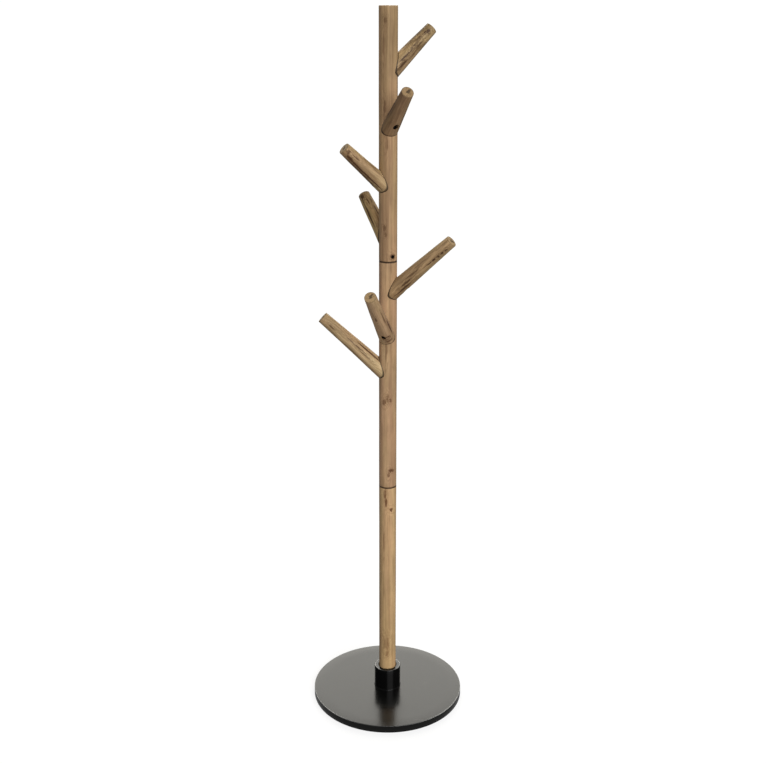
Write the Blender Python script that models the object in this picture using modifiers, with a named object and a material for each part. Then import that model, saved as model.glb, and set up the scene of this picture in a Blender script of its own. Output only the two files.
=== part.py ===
"""A standing coat rack: a weighted round base with a collar, a pole of three screwed sections, and seven pegs.

Metres, +Z up. The pole's axis is the Z axis and the floor is Z = 0. Each section of the pole unscrews from what is
below it, on a right-hand stud, so the empties on the axis carry the pieces that turn and rise together.
"""

import math

import bpy
from mathutils import Matrix

GAP = 0.0003                    # clearance between two pieces that touch
BASE_STEPS = 72                 # flats round the base's large discs
POLE_STEPS = 40

# Pole
POLE_RADIUS = 0.021
POLE_CHAMFER = 0.0008
TOP_CHAMFER = 0.0012
SECTION_LENGTH = 0.560

# Base: a pressed pan over a cast disc, closed by a plate, on rubber pads
BASE_RADIUS = 0.1885
BASE_TOP = 0.020
PAN_BOTTOM = 0.0015
PAN_SHEET = 0.0015
PAN_EDGE = 0.0012
PLATE_BOTTOM = 0.003
PLATE_SHEET = 0.0012
PLATE_ACCESS_RADIUS = 0.016
DISC_POCKET_RADIUS = 0.0185
DISC_EDGE = 0.002
PAD_COUNT = 6
PAD_RADIUS = 0.010
PAD_CIRCLE = 0.165

# Collar on the base
COLLAR_RADIUS = 0.033
COLLAR_BORE = 0.0225
COLLAR_HEIGHT = 0.058
COLLAR_ROUND = 0.0025
COLLAR_CHAMFER = 0.0008

# Threads: an M10 stud or bolt below each joint, and a threaded insert above it
THREAD_RADIUS = 0.005
THREAD_CHAMFER = 0.001
STUD_ABOVE = 0.018
STUD_BELOW = 0.035
INSERT_RADIUS = 0.0095
INSERT_LENGTH = 0.027
INSERT_RECESS = 0.001
STUD_END_BORE = 0.006
STUD_END_DEPTH = 0.034
BOLT_HEAD_FLATS = 0.016
BOLT_HEAD_HEIGHT = 0.0064
WASHER_RADIUS = 0.015
WASHER_SHEET = 0.0024

# Lock screws: one through the pole into each insert
LOCK_RADIUS = 0.004
LOCK_INNER = 0.0087
LOCK_OUTER = 0.0201
LOCK_HEIGHT = 0.0126
LOCK_BEARINGS = {"lower": 150.0, "middle": 118.0, "upper": -59.0}
LOCK_SOCKET_FLATS = 0.004
LOCK_SOCKET_DEPTH = 0.003

# Pegs: tapered rods, saddled on the pole
PEG_TILT = math.radians(47.7)   # from the pole's axis
PEG_ROOT_RADIUS = 0.020         # at the pole's axis
PEG_TIP_RADIUS = 0.0138
PEG_TIP_ROUND = 0.0006
SHORT_PEG = 0.142               # from the pole's axis to the tip, along the peg
LONG_PEG = 0.207
# name: (section, height where the peg's axis meets the pole's axis, bearing from +X, length)
PEGS = {
    "peg_1": ("upper", 1.556, 25.0, SHORT_PEG),
    "peg_2": ("upper", 1.431, -67.0, SHORT_PEG),
    "peg_3": ("upper", 1.305, -158.0, SHORT_PEG),
    "peg_4": ("upper", 1.181, 122.0, SHORT_PEG),
    "peg_5": ("middle", 1.058, -22.0, LONG_PEG),
    "peg_6": ("middle", 0.952, -105.0, LONG_PEG),
    "peg_7": ("middle", 0.864, 177.0, LONG_PEG),
}

# Peg screws: level, through the heel of each peg into the pole, their heads sunk in the peg's lower side
SCREW_RISE = 0.0155             # above the height where the two axes meet
SCREW_HEAD_RADIUS = 0.0052
SCREW_HEAD_HEIGHT = 0.0026
SCREW_SHANK_RADIUS = 0.0022
SCREW_SEAT = 0.034              # distance of the head's seat from the pole's axis
SCREW_TIP = 0.0085
SCREW_SOCKET_FLATS = 0.003
SCREW_SOCKET_DEPTH = 0.0015
SINK_RADIUS = 0.0061
SINK_OUTER = 0.062
PILOT_RADIUS = 0.0026

COLOURS = {
    # name: (colour, roughness, metallic)
    "pole_wood": ((0.38, 0.25, 0.15), 0.5, 0.0),
    "peg_wood": ((0.30, 0.19, 0.11), 0.5, 0.0),
    "base_coat": ((0.025, 0.025, 0.024), 0.3, 0.0),
    "collar_coat": ((0.010, 0.010, 0.010), 0.35, 0.0),
    "plate_paint": ((0.030, 0.030, 0.030), 0.6, 0.0),
    "cement": ((0.42, 0.41, 0.39), 0.9, 0.0),
    "pad_rubber": ((0.03, 0.03, 0.03), 0.8, 0.0),
    "zinc_steel": ((0.55, 0.56, 0.58), 0.35, 1.0),
    "insert_brass": ((0.70, 0.52, 0.25), 0.35, 1.0),
    "screw_black": ((0.02, 0.02, 0.02), 0.4, 1.0),
}


def clear_scene():
    for item in list(bpy.data.objects):
        bpy.data.objects.remove(item, do_unlink=True)


def new_collection(name):
    collection = bpy.data.collections.new(name)
    bpy.context.scene.collection.children.link(collection)
    return collection


def new_material(name):
    colour, roughness, metallic = COLOURS[name]
    material = bpy.data.materials.new(name)
    material.use_nodes = True
    shader = material.node_tree.nodes["Principled BSDF"]
    shader.inputs["Base Color"].default_value = (*colour, 1.0)
    shader.inputs["Roughness"].default_value = roughness
    shader.inputs["Metallic"].default_value = metallic
    return material


clear_scene()
PARTS = new_collection("coat_rack")
CUTTERS = new_collection("cutters")
MATERIALS = {name: new_material(name) for name in COLOURS}


def around_axis(height, bearing, tilt):
    """Puts a piece's own Z axis on a line from the pole's axis, at a height, a bearing and a tilt."""
    turn = Matrix.Rotation(math.radians(bearing), 4, "Z")
    lean = Matrix.Rotation(tilt, 4, "Y")
    return Matrix.Translation((0.0, 0.0, height)) @ turn @ lean


def turned(name, profile, steps, material=None, parent=None, place=None, ring=False):
    """Turns (radius, height) points about Z. They run down the outer side; a ring's profile closes on itself."""
    mesh = bpy.data.meshes.new(name)
    count = len(profile)
    edges = [(i, i + 1) for i in range(count - 1)]
    if ring:
        edges.append((count - 1, 0))
    mesh.from_pydata([(radius, 0.0, height) for radius, height in profile], edges, [])
    item = bpy.data.objects.new(name, mesh)
    if material:
        PARTS.objects.link(item)
        mesh.materials.append(MATERIALS[material])
    else:
        CUTTERS.objects.link(item)
        item.hide_render = True
        item.display_type = "WIRE"
    screw = item.modifiers.new("turn", "SCREW")
    screw.axis = "Z"
    screw.angle = 2 * math.pi
    screw.steps = steps
    screw.render_steps = steps
    screw.use_merge_vertices = True
    screw.merge_threshold = 0.00001
    screw.use_smooth_shade = bool(material) and steps > 6
    item.matrix_world = place or Matrix()
    if parent:
        carry(item, parent)
    return item


def carry(item, parent):
    """Parents a piece to an empty and leaves it where it is."""
    item.parent = parent
    item.matrix_parent_inverse = parent.matrix_world.inverted()


def combine(item, other, operation):
    boolean = item.modifiers.new(operation.lower(), "BOOLEAN")
    boolean.operation = operation
    boolean.object = other
    boolean.solver = "EXACT"


def axis_empty(name, height, parent=None):
    empty = bpy.data.objects.new(name, None)
    PARTS.objects.link(empty)
    empty.empty_display_size = 0.05
    empty.location = (0.0, 0.0, height)
    bpy.context.view_layer.update()
    if parent:
        carry(empty, parent)
        bpy.context.view_layer.update()
    return empty


def arc(centre_radius, centre_height, radius, start, end, steps):
    """Points on a quarter or half round, from one angle to another, in degrees from the outward radius."""
    angles = [math.radians(start + (end - start) * i / steps) for i in range(steps + 1)]
    return [(centre_radius + radius * math.cos(a), centre_height + radius * math.sin(a)) for a in angles]


def hexagon(flats):
    """The corner radius of a hexagon, from its width across flats."""
    return flats / math.sqrt(3)


# ---- base ----

JOINT_LOWER = BASE_TOP
JOINT_MIDDLE = BASE_TOP + SECTION_LENGTH
JOINT_UPPER = JOINT_MIDDLE + SECTION_LENGTH
POLE_TOP = JOINT_UPPER + SECTION_LENGTH

base_empty = axis_empty("base_axis", 0.0)
lower_empty = axis_empty("lower_pole_axis", JOINT_LOWER, base_empty)
middle_empty = axis_empty("middle_pole_axis", JOINT_MIDDLE, lower_empty)
upper_empty = axis_empty("upper_pole_axis", JOINT_UPPER, middle_empty)
SECTION_EMPTIES = {"lower": lower_empty, "middle": middle_empty, "upper": upper_empty}


def make_base():
    sheet_under = BASE_TOP - PAN_SHEET
    bolt_hole = THREAD_RADIUS + GAP
    pan = arc(BASE_RADIUS - PAN_EDGE, BASE_TOP - PAN_EDGE, PAN_EDGE, 90, 0, 3)
    pan += [(BASE_RADIUS, PAN_BOTTOM), (BASE_RADIUS - PAN_SHEET, PAN_BOTTOM)]
    pan += [(BASE_RADIUS - PAN_SHEET, sheet_under), (bolt_hole, sheet_under), (bolt_hole, BASE_TOP)]
    turned("base_pan", pan, BASE_STEPS, "base_coat", base_empty, ring=True)

    disc_radius = BASE_RADIUS - PAN_SHEET - DISC_EDGE
    disc_top = sheet_under - GAP
    disc_bottom = PLATE_BOTTOM + PLATE_SHEET + GAP
    disc = [(disc_radius - DISC_EDGE, disc_top), (disc_radius, disc_top - DISC_EDGE)]
    disc += [(disc_radius, disc_bottom), (DISC_POCKET_RADIUS, disc_bottom), (DISC_POCKET_RADIUS, disc_top)]
    turned("ballast_disc", disc, 48, "cement", base_empty, ring=True)

    plate_radius = BASE_RADIUS - PAN_SHEET - GAP
    plate_top = PLATE_BOTTOM + PLATE_SHEET
    plate = [(plate_radius, plate_top), (plate_radius, PLATE_BOTTOM)]
    plate += [(PLATE_ACCESS_RADIUS, PLATE_BOTTOM), (PLATE_ACCESS_RADIUS, plate_top)]
    turned("bottom_plate", plate, BASE_STEPS, "plate_paint", base_empty, ring=True)

    pad_top = PLATE_BOTTOM - GAP
    pad_edge = pad_top / 4
    pad = [(0.0, pad_top), (PAD_RADIUS, pad_top), (PAD_RADIUS, pad_edge), (PAD_RADIUS - pad_edge, 0.0), (0.0, 0.0)]
    for i in range(PAD_COUNT):
        angle = 2 * math.pi * (i + 0.5) / PAD_COUNT
        place = Matrix.Translation((PAD_CIRCLE * math.cos(angle), PAD_CIRCLE * math.sin(angle), 0.0))
        turned(f"foot_pad_{i + 1}", pad, 16, "pad_rubber", base_empty, place)


def make_collar():
    foot = BASE_TOP + GAP
    rim = BASE_TOP + COLLAR_HEIGHT
    profile = arc(COLLAR_RADIUS - COLLAR_ROUND, rim - COLLAR_ROUND, COLLAR_ROUND, 90, 0, 4)
    profile += [(COLLAR_RADIUS, foot), (COLLAR_BORE, foot)]
    profile += [(COLLAR_BORE, rim - COLLAR_CHAMFER), (COLLAR_BORE + COLLAR_CHAMFER, rim)]
    turned("socket_collar", profile, 48, "collar_coat", base_empty, ring=True)


# ---- threads ----


def make_base_bolt():
    """A hexagon bolt from below, with its head in the disc's pocket and its thread in the lower insert."""
    washer_top = BASE_TOP - PAN_SHEET - GAP
    washer_under = washer_top - WASHER_SHEET
    bore = THREAD_RADIUS + GAP
    washer = [(WASHER_RADIUS, washer_top), (WASHER_RADIUS, washer_under), (bore, washer_under), (bore, washer_top)]
    turned("base_washer", washer, 24, "zinc_steel", base_empty, ring=True)

    seat = washer_under - GAP
    head_under = seat - BOLT_HEAD_HEIGHT
    end = JOINT_LOWER + STUD_ABOVE
    shank = [(0.0, end), (THREAD_RADIUS - THREAD_CHAMFER, end), (THREAD_RADIUS, end - THREAD_CHAMFER)]
    shank += [(THREAD_RADIUS, seat - THREAD_CHAMFER), (0.0, seat - THREAD_CHAMFER)]
    bolt = turned("base_bolt", shank, 16, "zinc_steel", base_empty)
    corner = hexagon(BOLT_HEAD_FLATS)
    head = turned("base_bolt_head", [(0.0, seat), (corner, seat), (corner, head_under), (0.0, head_under)], 6)
    combine(bolt, head, "UNION")


def make_stud(name, joint, parent):
    end = joint + STUD_ABOVE
    foot = joint - STUD_BELOW
    inner = THREAD_RADIUS - THREAD_CHAMFER
    profile = [(0.0, end), (inner, end), (THREAD_RADIUS, end - THREAD_CHAMFER)]
    profile += [(THREAD_RADIUS, foot + THREAD_CHAMFER), (inner, foot), (0.0, foot)]
    turned(name, profile, 16, "zinc_steel", parent)


# ---- pole ----


def lock_place(section, joint):
    return around_axis(joint + LOCK_HEIGHT, LOCK_BEARINGS[section], math.pi / 2)


def make_insert(section, joint, lock_hole):
    foot = joint + INSERT_RECESS
    end = foot + INSERT_LENGTH
    bore = THREAD_RADIUS + GAP
    profile = [(INSERT_RADIUS - THREAD_CHAMFER, end), (INSERT_RADIUS, end - THREAD_CHAMFER)]
    profile += [(INSERT_RADIUS, foot), (bore, foot), (bore, end)]
    insert = turned(f"insert_{section}", profile, 24, "insert_brass", SECTION_EMPTIES[section], ring=True)
    combine(insert, lock_hole, "DIFFERENCE")


def make_lock_screw(section, joint):
    """A headless screw with a hexagon socket, just below the pole's surface."""
    place = lock_place(section, joint)
    bevel = LOCK_RADIUS / 5
    profile = [(0.0, LOCK_OUTER), (LOCK_RADIUS - bevel, LOCK_OUTER), (LOCK_RADIUS, LOCK_OUTER - bevel)]
    profile += [(LOCK_RADIUS, LOCK_INNER), (0.0, LOCK_INNER)]
    screw = turned(f"lock_screw_{section}", profile, 12, "screw_black", SECTION_EMPTIES[section], place)
    corner = hexagon(LOCK_SOCKET_FLATS)
    floor = LOCK_OUTER - LOCK_SOCKET_DEPTH
    beyond = LOCK_OUTER + LOCK_RADIUS
    socket = [(0.0, beyond), (corner, beyond), (corner, floor), (0.0, floor)]
    combine(screw, turned(f"lock_socket_{section}", socket, 6, place=place), "DIFFERENCE")


def make_lock_hole(section, joint):
    radius = LOCK_RADIUS + GAP
    floor = LOCK_INNER - GAP
    beyond = POLE_RADIUS + LOCK_RADIUS
    profile = [(0.0, beyond), (radius, beyond), (radius, floor), (0.0, floor)]
    return turned(f"lock_hole_{section}", profile, 12, place=lock_place(section, joint))


def make_section(section, joint, has_stud_above):
    """One length of the pole, bored for the insert at its foot and, below another section, for a stud."""
    foot = joint + GAP / 2 if section != "lower" else joint + GAP
    top = joint + SECTION_LENGTH - GAP / 2
    if has_stud_above:
        floor = joint + SECTION_LENGTH - STUD_BELOW - GAP
        stud_bore = THREAD_RADIUS + GAP
        profile = [(0.0, floor), (stud_bore, floor), (stud_bore, top)]
        chamfer = POLE_CHAMFER
    else:
        profile = [(0.0, top)]
        chamfer = TOP_CHAMFER
    profile += [(POLE_RADIUS - chamfer, top), (POLE_RADIUS, top - chamfer)]
    profile += [(POLE_RADIUS, foot + POLE_CHAMFER), (POLE_RADIUS - POLE_CHAMFER, foot)]
    insert_bore = INSERT_RADIUS + GAP
    insert_floor = joint + INSERT_RECESS + INSERT_LENGTH + GAP
    end_floor = joint + STUD_END_DEPTH
    profile += [(insert_bore, foot), (insert_bore, insert_floor), (STUD_END_BORE, insert_floor)]
    profile += [(STUD_END_BORE, end_floor), (0.0, end_floor)]
    pole = turned(f"pole_{section}", profile, POLE_STEPS, "pole_wood", SECTION_EMPTIES[section])
    lock_hole = make_lock_hole(section, joint)
    combine(pole, lock_hole, "DIFFERENCE")
    make_insert(section, joint, lock_hole)
    make_lock_screw(section, joint)
    return pole


# ---- pegs ----


def make_pole_cutter():
    """The pole's outside with its clearance, which saddles every peg. Its flats, not its corners, keep the gap."""
    steps = 48
    radius = (POLE_RADIUS + GAP) / math.cos(math.pi / steps)
    profile = [(0.0, POLE_TOP), (radius, POLE_TOP), (radius, JOINT_MIDDLE), (0.0, JOINT_MIDDLE)]
    return turned("pole_saddle", profile, steps)


def make_screw_hole(name, place):
    """A sink for the head, a clearance hole through the heel and a pilot hole in the pole, in one cutter."""
    pilot_end = SCREW_TIP - GAP
    profile = [(0.0, SINK_OUTER), (SINK_RADIUS, SINK_OUTER), (SINK_RADIUS, SCREW_SEAT)]
    profile += [(PILOT_RADIUS, SCREW_SEAT), (PILOT_RADIUS, pilot_end), (0.0, pilot_end)]
    return turned(f"{name}_screw_hole", profile, 16, place=place)


def make_peg_screw(name, place, parent):
    seat = SCREW_SEAT + GAP
    top = seat + SCREW_HEAD_HEIGHT
    bevel = SCREW_HEAD_HEIGHT / 3
    point = SCREW_TIP + 2 * SCREW_SHANK_RADIUS
    profile = [(0.0, top), (SCREW_HEAD_RADIUS - bevel, top), (SCREW_HEAD_RADIUS, top - bevel)]
    profile += [(SCREW_HEAD_RADIUS, seat), (SCREW_SHANK_RADIUS, seat)]
    profile += [(SCREW_SHANK_RADIUS, point), (0.0, SCREW_TIP)]
    screw = turned(f"{name}_screw", profile, 16, "screw_black", parent, place)
    corner = hexagon(SCREW_SOCKET_FLATS)
    floor = top - SCREW_SOCKET_DEPTH
    beyond = top + SCREW_HEAD_HEIGHT
    socket = [(0.0, beyond), (corner, beyond), (corner, floor), (0.0, floor)]
    combine(screw, turned(f"{name}_screw_socket", socket, 6, place=place), "DIFFERENCE")


def make_peg(name, pole, saddle):
    section, height, bearing, length = PEGS[name]
    parent = SECTION_EMPTIES[section]
    slope = (PEG_ROOT_RADIUS - PEG_TIP_RADIUS) / length
    profile = arc(PEG_TIP_RADIUS - PEG_TIP_ROUND, length - PEG_TIP_ROUND, PEG_TIP_ROUND, 90, 0, 2)
    profile = [(0.0, length)] + profile[:-1]
    profile += [(PEG_TIP_RADIUS + slope * PEG_TIP_ROUND, length - PEG_TIP_ROUND), (PEG_ROOT_RADIUS, 0.0), (0.0, 0.0)]
    peg = turned(name, profile, 28, "peg_wood", parent, around_axis(height, bearing, PEG_TILT))
    combine(peg, saddle, "DIFFERENCE")
    screw_place = around_axis(height + SCREW_RISE, bearing, math.pi / 2)
    hole = make_screw_hole(name, screw_place)
    combine(peg, hole, "DIFFERENCE")
    combine(pole, hole, "DIFFERENCE")
    make_peg_screw(name, screw_place, parent)


make_base()
make_collar()
make_base_bolt()
make_stud("stud_middle", JOINT_MIDDLE, lower_empty)
make_stud("stud_upper", JOINT_UPPER, middle_empty)
poles = {
    "lower": make_section("lower", JOINT_LOWER, True),
    "middle": make_section("middle", JOINT_MIDDLE, True),
    "upper": make_section("upper", JOINT_UPPER, False),
}
pole_saddle = make_pole_cutter()
for peg_name, peg_facts in PEGS.items():
    make_peg(peg_name, poles[peg_facts[0]], pole_saddle)
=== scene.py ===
"""The finished look of a standing coat rack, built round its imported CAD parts.

Metres, +Z up, the pole on the Z axis and the floor at Z = 0. Each section below makes one piece of the
rack, or one group of like pieces, in the order in which a maker puts the rack together.
"""

import math

import bmesh
import bpy
from mathutils import Matrix, Vector, noise


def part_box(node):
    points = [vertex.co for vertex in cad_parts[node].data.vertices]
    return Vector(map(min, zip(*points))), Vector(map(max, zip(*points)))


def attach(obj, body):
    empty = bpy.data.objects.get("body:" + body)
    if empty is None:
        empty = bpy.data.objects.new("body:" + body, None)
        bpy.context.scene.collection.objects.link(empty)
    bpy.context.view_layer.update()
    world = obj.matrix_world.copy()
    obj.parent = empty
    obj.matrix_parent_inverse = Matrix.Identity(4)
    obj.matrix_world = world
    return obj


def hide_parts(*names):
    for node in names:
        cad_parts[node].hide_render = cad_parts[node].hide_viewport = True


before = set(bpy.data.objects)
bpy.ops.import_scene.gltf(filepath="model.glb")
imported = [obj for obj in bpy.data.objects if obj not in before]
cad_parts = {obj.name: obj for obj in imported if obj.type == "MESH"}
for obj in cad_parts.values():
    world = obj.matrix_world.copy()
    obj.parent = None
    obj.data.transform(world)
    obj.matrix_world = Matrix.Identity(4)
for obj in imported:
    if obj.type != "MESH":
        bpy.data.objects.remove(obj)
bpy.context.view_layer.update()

# ---- base pan ----
# The pan is pressed from steel sheet, 1.5 mm thick, with a crisp rounded edge, and the bolt comes up through
# the hole in its middle. It is powder coated black, a semi-gloss coat with a very fine orange peel. A pale
# painted highlight runs along the edge, strongest at the left and right sides.


def turned(profile, steps, closed=False):
    """Spins (radius, height) points once round Z. Closed, they make a ring; open, they run axis to axis."""
    bm = bmesh.new()
    points = [bm.verts.new((radius, 0.0, height)) for radius, height in profile]
    edges = [bm.edges.new(pair) for pair in zip(points, points[1:])]
    if closed:
        edges.append(bm.edges.new((points[-1], points[0])))
    bmesh.ops.spin(
        bm, geom=points + edges, cent=(0, 0, 0), axis=(0, 0, 1), angle=2 * math.pi, steps=steps,
        use_merge=True,
    )
    bmesh.ops.remove_doubles(bm, verts=bm.verts, dist=0.000002)
    bmesh.ops.recalc_face_normals(bm, faces=bm.faces)
    return bm


def rounded(radius, height, size, start, end, steps):
    """Points round a small quarter edge about a (radius, height) centre, in degrees from outwards."""
    angles = [math.radians(start + (end - start) * i / steps) for i in range(steps + 1)]
    return [(radius + size * math.cos(angle), height + size * math.sin(angle)) for angle in angles]


def piece(name, bm, finish, place=None, crease=35.0):
    """Makes an object of a bmesh, set in its place, smooth but for its creases."""
    mesh = bpy.data.meshes.new(name)
    bm.to_mesh(mesh)
    bm.free()
    if place:
        mesh.transform(place)
    if finish:
        mesh.materials.append(finish)
    mesh.shade_smooth()
    mesh.set_sharp_from_angle(angle=math.radians(crease))
    item = bpy.data.objects.new(name, mesh)
    bpy.context.scene.collection.objects.link(item)
    return item


def stands_for(item, node, body):
    """The piece is shown in place of a CAD node and rides on that node's body."""
    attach(item, body)
    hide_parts(node)


def tint(red, green, blue):
    """A colour read from a paint card, 0 to 255, as the shader wants it."""
    card = [channel / 255 for channel in (red, green, blue)]
    linear = [((share + 0.055) / 1.055) ** 2.4 if share > 0.04045 else share / 12.92 for share in card]
    return (*linear, 1.0)


def scaled(colour, red, green, blue):
    """A colour with each of its channels made stronger or weaker."""
    return (colour[0] * red, colour[1] * green, colour[2] * blue, 1.0)


def add(tree, kind, inputs=None, **settings):
    """Adds a node to a material; each input is a value to set or an output to link."""
    node = tree.nodes.new(kind)
    for key, value in settings.items():
        setattr(node, key, value)
    for key, value in (inputs or {}).items():
        if isinstance(value, bpy.types.NodeSocket):
            tree.links.new(value, node.inputs[key])
        else:
            node.inputs[key].default_value = value
    return node


def sums(tree, operation, first, second=0.0, third=0.0):
    return add(tree, "ShaderNodeMath", {0: first, 1: second, 2: third}, operation=operation).outputs[0]


def spread(tree, value, low, high, to_low=0.0, to_high=1.0):
    """Maps a value's range smoothly onto another."""
    inputs = {"Value": value, "From Min": low, "From Max": high, "To Min": to_low, "To Max": to_high}
    return add(tree, "ShaderNodeMapRange", inputs, interpolation_type="SMOOTHSTEP").outputs["Result"]


def blended(tree, factor, first, second, mode="MIX"):
    mix = add(tree, "ShaderNodeMix", data_type="RGBA", blend_type=mode)
    for key, value in ((0, factor), (6, first), (7, second)):
        if isinstance(value, bpy.types.NodeSocket):
            tree.links.new(value, mix.inputs[key])
        else:
            mix.inputs[key].default_value = value
    return mix.outputs[2]


def grained(tree, where, scale, detail=2.0, roughness=0.5, distortion=0.0):
    inputs = {"Vector": where, "Scale": scale, "Detail": detail}
    inputs |= {"Roughness": roughness, "Distortion": distortion}
    return add(tree, "ShaderNodeTexNoise", inputs).outputs["Fac"]


def new_finish(name, **sockets):
    """A material with its Principled shader's constant sockets set; returns it, its tree and the shader."""
    material = bpy.data.materials.new(name)
    material.use_nodes = True
    tree = material.node_tree
    shader = tree.nodes["Principled BSDF"]
    for key, value in sockets.items():
        shader.inputs[key.replace("_", " ")].default_value = value
    return material, tree, shader


def bumped(tree, shader, height, strength, distance):
    """Gives a material a fine relief."""
    bump = add(tree, "ShaderNodeBump", {"Height": height, "Strength": strength, "Distance": distance})
    tree.links.new(bump.outputs["Normal"], shader.inputs["Normal"])


def powder_coat(name, colour, peel, gloss):
    """A baked powder coat: an even colour, a very fine orange peel, and faint wipe marks in its gloss."""
    material, tree, shader = new_finish(name, Base_Color=colour, IOR=1.4)
    where = add(tree, "ShaderNodeTexCoord").outputs["Object"]
    wipes = add(tree, "ShaderNodeMapping", {"Vector": where, "Scale": (7.0, 26.0, 7.0)}).outputs[0]
    specks = spread(tree, grained(tree, where, 1100.0, 1.0), 0.45, 0.8)
    paler = (*(1.5 * channel + 0.001 for channel in colour[:3]), 1.0)
    shade = blended(tree, specks, colour, paler)
    scuffs = sums(tree, "MULTIPLY", grained(tree, wipes, 5.0, 5.0, 0.7), grained(tree, where, 16.0, 3.0))
    scuffs = spread(tree, scuffs, 0.36, 0.46, 0.0, 0.3)
    tree.links.new(blended(tree, scuffs, shade, tint(74, 73, 70)), shader.inputs["Base Color"])
    cloudy = grained(tree, wipes, 1.0, 4.0, 0.6, 0.8)
    tree.links.new(spread(tree, cloudy, 0.35, 0.7, gloss - 0.015, gloss + 0.03), shader.inputs["Roughness"])
    bumped(tree, shader, grained(tree, where, peel, 1.0), 0.05, 0.0001)
    return material


def coat_with_painted_edge_highlight(name, colour, gloss, edge_radius, edge_height, strength):
    """The powder coat, with a pale painted highlight along a round edge, strongest at its two sides."""
    material = powder_coat(name, colour, 700.0, gloss)
    tree = material.node_tree
    shader = tree.nodes["Principled BSDF"]
    where = add(tree, "ShaderNodeTexCoord").outputs["Object"]
    parts = add(tree, "ShaderNodeSeparateXYZ", {0: where})
    height = parts.outputs["Z"]
    sideways = sums(tree, "ABSOLUTE", parts.outputs["X"])
    flat = add(tree, "ShaderNodeVectorMath", {0: where, 1: (1.0, 1.0, 0.0)}, operation="MULTIPLY").outputs[0]
    off_axis = add(tree, "ShaderNodeVectorMath", {0: flat}, operation="LENGTH").outputs["Value"]
    out = sums(tree, "POWER", sums(tree, "SUBTRACT", off_axis, edge_radius), 2.0)
    up = sums(tree, "POWER", sums(tree, "SUBTRACT", height, edge_height), 2.0)
    off_edge = sums(tree, "SQRT", sums(tree, "ADD", out, up))
    # This mask paints a pale highlight along the round edge, stronger towards the left and right sides.
    ragged = sums(tree, "MULTIPLY_ADD", grained(tree, where, 260.0, 4.0, 0.6), -0.0024, off_edge)
    edge_highlight = sums(tree, "MULTIPLY", spread(tree, ragged, 0.0002, -0.0007), strength)
    side_highlight_share = spread(tree, sideways, edge_radius * 0.3, edge_radius * 0.8, 0.12, 1.0)
    edge_highlight = sums(tree, "MULTIPLY", edge_highlight, side_highlight_share)
    # The pale colour mixed in along the edge is the painted highlight.
    coat = shader.inputs["Base Color"].links[0].from_socket
    tree.links.new(blended(tree, edge_highlight, coat, tint(206, 205, 201)), shader.inputs["Base Color"])
    return material


base_low, base_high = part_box("base_pan")
base_radius = base_high.x
base_top = base_high.z
pan_sheet = 0.0015
pan_edge = 0.0012
bolt_hole = 0.0053

pan_profile = rounded(base_radius - pan_edge, base_top - pan_edge, pan_edge, 90, 0, 6)
pan_profile += [(base_radius, base_low.z + pan_sheet / 2), (base_radius - pan_sheet / 4, base_low.z)]
pan_profile += [(base_radius - pan_sheet, base_low.z), (base_radius - pan_sheet, base_top - pan_sheet)]
pan_profile += [(bolt_hole, base_top - pan_sheet), (bolt_hole, base_top)]
pan_profile += [(base_radius * i / 6, base_top) for i in range(1, 6)]
pan_rim = (base_radius - pan_edge * 0.4, base_top - pan_edge * 0.4)
pan_gloss = 0.20
pan_edge_highlight = 0.5
# The pan's rounded edge carries a painted highlight.
base_coat = coat_with_painted_edge_highlight("base_powder_coat", tint(9, 9, 8), pan_gloss, *pan_rim, pan_edge_highlight)
base_pan = piece("pressed_base_pan", turned(pan_profile, 192, closed=True), base_coat)
stands_for(base_pan, "base_pan", "base")

# ---- ballast disc ----
# A disc of cast cement fills the pan and gives the rack its weight. It is rough from the mould, with small
# air pits, and has a pocket in its middle for the bolt's head. It is hidden, but for a glimpse through that
# pocket.

cement, tree, shader = new_finish("cast_cement", Roughness=0.9)
where = add(tree, "ShaderNodeTexCoord").outputs["Object"]
pits = add(tree, "ShaderNodeTexVoronoi", {"Vector": where, "Scale": 260.0}).outputs["Distance"]
patches = grained(tree, where, 30.0, 6.0, 0.6)
shade = blended(tree, spread(tree, patches, 0.3, 0.7), tint(150, 147, 141), tint(178, 175, 168))
# The pits are coloured darker, a painted shade in the hollows.
shade = blended(tree, spread(tree, pits, 0.12, 0.05), shade, tint(92, 90, 86))
tree.links.new(shade, shader.inputs["Base Color"])
bumped(tree, shader, spread(tree, pits, 0.03, 0.16), 0.6, 0.001)
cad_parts["ballast_disc"].data.materials.clear()
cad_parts["ballast_disc"].data.materials.append(cement)

# ---- bottom plate ----
# A thin steel plate closes the pan from below. Two pressed ribs stiffen it, and a hole in its middle leaves
# room for a spanner on the bolt's head. It is painted matt black and glued to the disc.

plate_low, plate_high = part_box("bottom_plate")
plate_radius = plate_high.x
plate_access = 0.016
rib_depth = 0.0006
rib_width = 0.006


def ribbed_face(height, ribs, rise):
    """The points across one face of the plate, out to in, with its ribs rising from it."""
    points = []
    for rib in ribs:
        points += [(rib + rib_width, height), (rib + rib_width / 2, height + rise)]
        points += [(rib - rib_width / 2, height + rise), (rib - rib_width, height)]
    return points


plate_ribs = (plate_radius * 0.74, plate_radius * 0.4)
plate_profile = [(plate_radius, plate_high.z), (plate_radius, plate_low.z + rib_depth / 3)]
plate_profile += [(plate_radius - rib_depth / 3, plate_low.z)]
plate_profile += ribbed_face(plate_low.z, plate_ribs, rib_depth)
plate_profile += [(plate_access, plate_low.z), (plate_access, plate_high.z)]
plate_paint = powder_coat("matt_black_paint", tint(30, 30, 30), 300.0, 0.6)
bottom_plate = piece("ribbed_bottom_plate", turned(plate_profile, 128, closed=True), plate_paint, crease=25.0)
stands_for(bottom_plate, "bottom_plate", "base")

# ---- foot pads ----
# Six moulded rubber pads are stuck under the plate, near its edge. Each has a rounded lower edge, a shallow
# dish in its face and a grip ring in the dish.

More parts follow.
